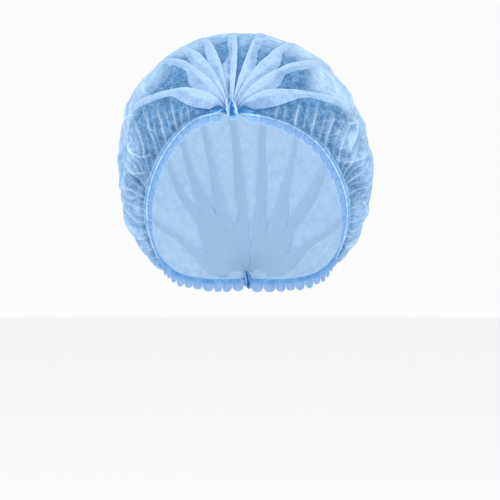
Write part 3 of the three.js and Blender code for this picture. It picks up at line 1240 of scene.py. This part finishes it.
@dataclass(frozen=True)
class HemBand:
    """The cloth folded over the elastic: a flat welt with a raised line along each edge.

    Near the front knot the upper line is missing and shade is painted on the welt's upper half, and on the
    right a slanting line crosses the welt there.
    """

    line: HemLine
    seat: Seat
    rows: int = 900
    around: int = 28
    front_deg: float = 1.4
    rear_deg: float = 0.15
    half_height: float = 1.9
    half_thick: float = 1.0
    line_height: float = 0.4
    line_place: float = 0.74
    line_width: float = 0.26
    clear: Pair = (6.0, 26.0)
    pucker: float = 0.14
    slant_top: float = 1.5
    slant_run: float = 4.2
    slant_width: float = 0.3
    slant_bright: float = 0.9
    closing: float = 1.5

    def slant(self, length: Array, upright: Array) -> Array:
        """The line that comes down across the welt beside the knot."""
        line = peak(upright - self.slant_top + length / self.slant_run, 0.0, self.slant_width)
        return line * (self.line.side is Side.RIGHT) * (length < self.slant_run * (1.0 + self.slant_top))

    def build(self, material: Material) -> Piece:
        """Carries the section along the hem: height h sin t, thickness w cos t, a ridge near each edge."""
        side = self.line.side
        walk = self.line.walk(self.rows, self.front_deg, self.rear_deg)
        length, end = per_row(walk.length), walk.length[-1]
        turn = np.linspace(0.0, 2 * math.pi, self.around, endpoint=False)[None, :]
        sine, cosine = np.sin(turn), np.cos(turn)
        ripple = wander(length / 0.9, 40 + side.value) * 0.6 + wander(length / 2.3, 42 + side.value)
        clear = smooth(length, *self.clear)
        low, high = (peak(sine, place, self.line_width) for place in (-self.line_place, self.line_place))
        slant = self.slant(length, sine)
        ridge = np.maximum(low + clear * high, self.slant_bright * slant)
        out = self.half_thick * cosine + self.line_height * ridge * np.sign(cosine)
        out = out * (1.0 + self.pucker * ripple)
        up = self.half_height * (sine * (1.0 + 0.08 * ripple))
        ends = np.sqrt(smooth(length, 0.0, self.closing) * (1.0 - smooth(length, end - self.closing, end)))
        section = -walk.down[:, None] * up[..., None] + walk.face[:, None] * out[..., None]
        place = walk.points[:, None] + ends[..., None] * section
        # A painted highlight along the raised lines and the slanting line.
        rim_highlight = held(ridge) * (cosine > -0.2)
        # Painted shade, uneven, on the welt's upper half by the knot.
        uneven = 0.66 + 0.34 * facets(length / 2.2, sine * 1.4, 33 + side.value)
        knot_shade = uneven * (1.0 - slant) * (1.0 - clear) * smooth(sine, -0.3, 0.3)
        # Painted shade also on the outer face between the lines and at the welt's front end.
        masks = {
            "fold": held(0.25 + 0.3 * ripple + 0 * out),
            "crease_highlight": held(rim_highlight * (0.9 + 0.25 * ripple)),
            "deep": held(0.12 * (1.0 - 1.6 * rim_highlight) * (cosine > 0.2) + 0.8 * peak(length, 0.0, 5.0) + knot_shade),
        }
        name, flat = f"hem_band_{side.label}", flat_map(length, turn * self.half_height)
        points, outwards = self.seat.to_row(place), side is Side.RIGHT
        piece = grid_mesh(f"{name}_cloth", points, masks, flat, around=True, outwards=outwards)
        return mounted(piece, material, "hem_welt", name)


@dataclass(frozen=True)
class Ruffle:
    """The free edge below the band, drawn up by the elastic into a row of small rounded tabs."""

    line: HemLine
    seat: Seat
    rows: int = 1500
    columns: int = 18
    front_deg: float = 4.4
    rear_deg: float = 0.25
    depth: float = 6.5
    tab_left: float = 8.8
    tab_right: float = 7.6
    first_left: float = 13.4
    first_right: float = 8.2
    tab_spread: float = 0.14
    depth_spread: float = 0.1
    skew_spread: float = 0.45
    roundness: float = 0.7
    wave: float = 1.5
    notch: float = 3.7
    top: float = 1.2
    shortest: float = 0.35
    taper_left: float = 9.0
    taper_right: float = 2.5
    lean: float = 0.9

    def build(self, material: Material) -> Piece:
        """Hangs the edge: each tab bulges as sin^roundness of its width, and is longest in its middle."""
        side = self.line.side
        walk = self.line.walk(self.rows, self.front_deg, self.rear_deg)
        walked, seed = walk.length, 60 + side.value
        pitch = side.pick(self.tab_left, self.tab_right)
        count = int(round(walked[-1] / pitch))
        rng = np.random.default_rng(seed)
        widths = rng.uniform(1.0 - self.tab_spread, 1.0 + self.tab_spread, count) * pitch
        widths[0] = side.pick(self.first_left, self.first_right)
        seams = np.concatenate([[0.0], np.cumsum(widths)]) / widths.sum() * walked[-1]
        number = np.clip(np.searchsorted(seams, walked, side="right") - 1, 0, count - 1)
        before, after = seams[number], seams[number + 1]
        share = held((walked - before) / (after - before))
        bulge = np.sin(share * math.pi) ** self.roundness
        tall = rng.uniform(1.0 - self.depth_spread, 1.0 + self.depth_spread, count)[number]
        skew = rng.uniform(-self.skew_spread, self.skew_spread, count)[number]
        drop = np.linspace(0.0, 1.0, self.columns)[None, :]
        reach = (self.depth - self.notch * (1.0 - bulge)) * blend(1.0, tall, bulge)
        taper = smooth(walked, 0.0, side.pick(self.taper_left, self.taper_right))
        hang = self.top + drop * per_row(reach * blend(self.shortest, 1.0, taper))
        wave = self.wave * (bulge - 0.5 + skew * (share - 0.5) * bulge)
        sway = -0.7 * np.sin(2 * math.pi * share) + 0.5 * wander(walked / 6.0, seed + 5)
        tangent = unit(np.gradient(walk.points, axis=0))
        place = (
            walk.points[:, None]
            + walk.down[:, None] * hang[..., None]
            + walk.face[:, None] * (per_row(wave) * drop**0.9)[..., None]
            + tangent[:, None] * (per_row(sway) * drop**1.5 * self.lean)[..., None]
        )
        # Pale lines up from each notch, where the cloth turns edge-on: partly its real thickness, partly
        # painted highlight; shade is painted shade beside each notch.
        seam_highlight = peak(per_row(np.minimum(walked - before, after - walked)), 0.0, 0.45)
        shade = peak(per_row(walked - before), 1.3, 0.8) * (1.0 - 0.5 * drop)
        # The free edge: partly thicker cloth seen edge-on, partly painted highlight.
        rim_highlight = smooth(drop, 0.88, 0.97)
        # The ruffle's top, under the band, is painted in shade.
        masks = {
            "fold": held(0.15 + 0.5 * rim_highlight + 0.5 * seam_highlight),
            "crease_highlight": held(0.7 * rim_highlight + 0.8 * seam_highlight * (1.0 - 0.3 * drop)),
            "deep": held(0.6 * shade * (1.0 - rim_highlight) + 0.25 * (1.0 - smooth(drop, 0.0, 0.3))),
        }
        name, flat = f"ruffle_{side.label}", flat_map(per_row(walked), drop * self.depth)
        points = self.seat.to_row(place)
        piece = grid_mesh(f"{name}_cloth", points, masks, flat, outwards=side is Side.LEFT)
        return mounted(piece, material, "hem_ruffle", name)


@dataclass(frozen=True)
class Knot:
    """The gathered end of the strip: sharp upright folds round a hollow, over a short rounded skirt.

    Its heights and widths are millimetres from the knot's middle, in the row's frame. Each row of crests is
    a fold's angle at crests_from and at crests_to, and its height.
    """

    name: str
    away: float
    middle: Triple
    heights: tuple[float, ...] = (
        15.5, 15.2, 12.2, 9.4, 6.7, 4.0, 1.4, -1.2, -3.4, -5.2, -6.6, -7.5, -7.3, -5.4, -5.2,
    )
    half_widths: tuple[float, ...] = (
        0.0, 3.3, 3.9, 4.4, 4.9, 5.2, 5.3, 5.2, 5.2, 5.3, 4.7, 3.2, 2.1, 1.1, 0.0,
    )
    shifts: tuple[float, ...] = (
        -0.9, -0.9, -0.6, -0.3, 0.0, 0.2, 0.4, 0.6, 0.8, 1.0, 1.2, 1.3, 1.2, 1.0, 1.0,
    )
    crests: tuple[Triple, ...] = (
        (-150.0, -150.0, 0.7),
        (-108.0, -108.0, 0.6),
        (-78.0, -84.0, 0.45),
        (-46.0, -62.0, 1.0),
        (-40.0, 4.0, 0.75),
        (44.0, 26.0, 1.0),
        (66.0, 62.0, 0.6),
        (92.0, 92.0, 0.5),
        (125.0, 125.0, 0.8),
        (155.0, 155.0, 0.7),
    )
    crests_from: float = 1.0
    crests_to: float = 8.5
    crest_width: float = math.radians(7.5)
    crest_sway: float = 0.13
    hollow: float = 0.62
    lean_up: float = 0.95
    lean_down: float = 0.3
    deep_scale: float = 0.85
    tall: float = 1.0
    rounding: float = 2.6
    smoothing: int = 3
    rows: int = 150
    around: int = 300

    def profile(self) -> list[Array]:
        """The height, half width and sideways shift at each row, with the corners smoothed off."""
        steps = np.linspace(0.0, 1.0, len(self.heights))
        fine = np.linspace(0.0, 1.0, self.rows)
        lines = [np.interp(fine, steps, values) for values in (self.heights, self.half_widths, self.shifts)]
        count = 2 * self.smoothing + 1
        for line in lines:
            line[self.smoothing : -self.smoothing] = np.convolve(line, np.ones(count) / count, "valid")
        return lines

    def folds(self, up: Array, turn: Array) -> Array:
        """How near each place is to a crest, from 0 to 1."""
        crest = np.zeros((self.rows, self.around))
        for number, (low, high, tall) in enumerate(self.crests):
            middle = np.radians(blend(low, high, smooth(up, self.crests_from, self.crests_to)))
            sway = self.crest_sway * wander(up / 3.5, 90 + number)
            apart = np.abs(np.angle(np.exp(1j * (turn - middle - sway))))
            crest = np.maximum(crest, tall * np.exp(-apart / self.crest_width))
        return crest

    def build(self, material: Material) -> Piece:
        """Turns the half widths about the upright; between crests the radius falls off, but in the skirt."""
        height, radius, shift = self.profile()
        turn = np.linspace(-math.pi, math.pi, self.around, endpoint=False)[None, :]
        up = per_row(np.where(height > 0, self.tall * height, height))
        crest = self.folds(up, turn)
        skirt = smooth(-up, 3.4, 5.4) * smooth(np.cos(turn), 0.1, 0.7)
        folded = per_row(radius) * blend(1.0 - self.hollow * (1.0 - crest), 1.0, skirt)
        back = self.lean_up * np.clip(up, 0.0, None) + self.lean_down * np.clip(up, None, 0.0)
        x = self.middle[0] + per_row(shift) + folded * np.sin(turn)
        y = self.middle[1] + self.away * (folded * np.cos(turn) * self.deep_scale - back)
        z = self.middle[2] + up + self.rounding * smooth(-up, 0.0, 5.0) * np.sin(turn) ** 2
        points = np.stack([x, y, z], -1) * METRES
        # Painted shade in the hollows between the crests, made uneven; painted highlight on the crests and
        # the skirt's rim, where the paler folded colour also goes.
        uneven_shade = 1.0 + 0.35 * facets(turn * 2.4, up / 2.4, 95)
        masks = {
            "fold": held(0.1 + crest + 0.25 * skirt),
            "crease_highlight": held(crest**1.4 * (1.0 - skirt) + smooth(-up, 6.2, 7.1) * skirt),
            "deep": held((uneven_shade - 2.0 * crest) * (1.0 - skirt)),
        }
        flat, outwards = flat_map(turn * 5.0, up), self.away > 0
        piece = grid_mesh(f"{self.name}_cloth", points, masks, flat, around=True, outwards=outwards)
        return mounted(piece, material, "gathered_knot", self.name)


# ------------------------------------------------------------------------------------------ stage


@dataclass(frozen=True)
class Lamp:
    """A square soft lamp that faces the middle of the cap: its place, size and power."""

    name: str
    at: Triple
    size: float
    power: float

    def hang(self) -> None:
        """Adds it to the scene."""
        data = bpy.data.lights.new(self.name, "AREA")
        data.size, data.energy = self.size, self.power
        lamp = bpy.data.objects.new(self.name, data)
        lamp.location = self.at
        way = unit(np.mean(CAD_BOX, axis=0) - np.array(self.at))
        lamp.rotation_euler = (math.acos(-way[2]), 0.0, math.atan2(way[1], way[0]) - math.pi / 2)
        bpy.context.scene.collection.objects.link(lamp)


@dataclass(frozen=True)
class Stage:
    """The pale floor, the soft light and the camera, in metres."""

    camera_at: Triple = (0.002, -1.677, -0.1546)
    lens: float = 167.8
    sensor: float = 36.0
    floor_below: float = 0.36
    floor_radius: float = 12.0
    floor_rings: int = 12
    floor_sides: int = 96
    floor_colour: Colour = (0.93, 0.93, 0.93)
    floor_roughness: float = 0.9
    world_strength: float = 0.97
    lamps: tuple[Lamp, ...] = (
        Lamp("key_lamp", (-0.9, -1.5, 1.5), 0.8, 27.0),
        Lamp("fill_lamp", (1.6, -1.0, 0.2), 1.2, 6.0),
    )

    def camera(self) -> None:
        """Puts a level camera in front of the wearer's face."""
        data = bpy.data.cameras.new("studio_camera")
        data.lens, data.sensor_width = self.lens, self.sensor
        camera = bpy.data.objects.new("studio_camera", data)
        camera.location = self.camera_at
        camera.rotation_euler = (math.pi / 2, 0.0, 0.0)
        bpy.context.scene.collection.objects.link(camera)
        bpy.context.scene.camera = camera

    def floor(self) -> None:
        """Lays a round pale floor: points at radius r and turn t, from arrays."""
        radius = per_row(np.linspace(0.0, self.floor_radius, self.floor_rings))
        turn = np.linspace(0, 2 * math.pi, self.floor_sides + 1)[None, :]
        level = np.full((self.floor_rings, self.floor_sides + 1), CAD_BOX[0][2] - self.floor_below)
        points = np.stack([radius * np.cos(turn), radius * np.sin(turn), level], -1)
        floor = grid_mesh("studio_floor", points, {}, points[..., :2])
        material = bpy.data.materials.new("pale_floor")
        material.use_nodes = True
        shader = material.node_tree.nodes["Principled BSDF"]
        shader.inputs["Base Color"].default_value = (*self.floor_colour, 1.0)
        shader.inputs["Roughness"].default_value = self.floor_roughness
        floor.data.materials.append(material)

    def light(self) -> None:
        """A white world, a key lamp in front and above, and a weaker one on the other side."""
        world = bpy.data.worlds.new("studio_world")
        world.use_nodes = True
        background = world.node_tree.nodes["Background"]
        background.inputs["Color"].default_value = (1.0, 1.0, 1.0, 1.0)
        background.inputs["Strength"].default_value = self.world_strength
        bpy.context.scene.world = world
        for lamp in self.lamps:
            lamp.hang()
        bpy.context.scene.view_settings.view_transform = "Standard"

    def build(self) -> None:
        """Builds the stage."""
        self.camera()
        self.floor()
        self.light()


@dataclass(frozen=True)
class FlatSheet:
    """A sheet as it was cut: its flat size in metres, and its area in square metres."""

    size: Pair
    area: float


def knots(material: Material) -> list[Piece]:
    """Makes the front knot, a little above its CAD node's middle, and the lower rear one."""
    made = []
    for name, away, raised, tall in (("front_knot", -1.0, 3.4, 1.0), ("rear_knot", 1.0, 0.0, 0.4)):
        middle = np.mean(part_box(name), axis=0) / METRES + np.array([0.0, 0.0, raised])
        made.append(Knot(name, away, tuple(middle), tall=tall).build(material))
    return made


def main() -> None:
    logging.basicConfig(level=logging.INFO, format="%(name)s %(message)s")
    Stage().build()
    envelope, seat, group = Envelope(), Seat.from_knots(), spunbond_group()
    finishes = (CROWN_FINISH, WELT_FINISH, RUFFLE_FINISH, KNOT_FINISH)
    crown, welt, ruffle, knot = (finish.material(group) for finish in finishes)
    top, *sides = Crown(envelope, seat).build(crown)
    ends = knots(knot)
    for side, cloth in zip(Side, sides):
        line = HemLine(envelope, side)
        band = HemBand(line, seat).build(welt)
        edge = Ruffle(line, seat).build(ruffle)


if __name__ == "__main__":
    main()
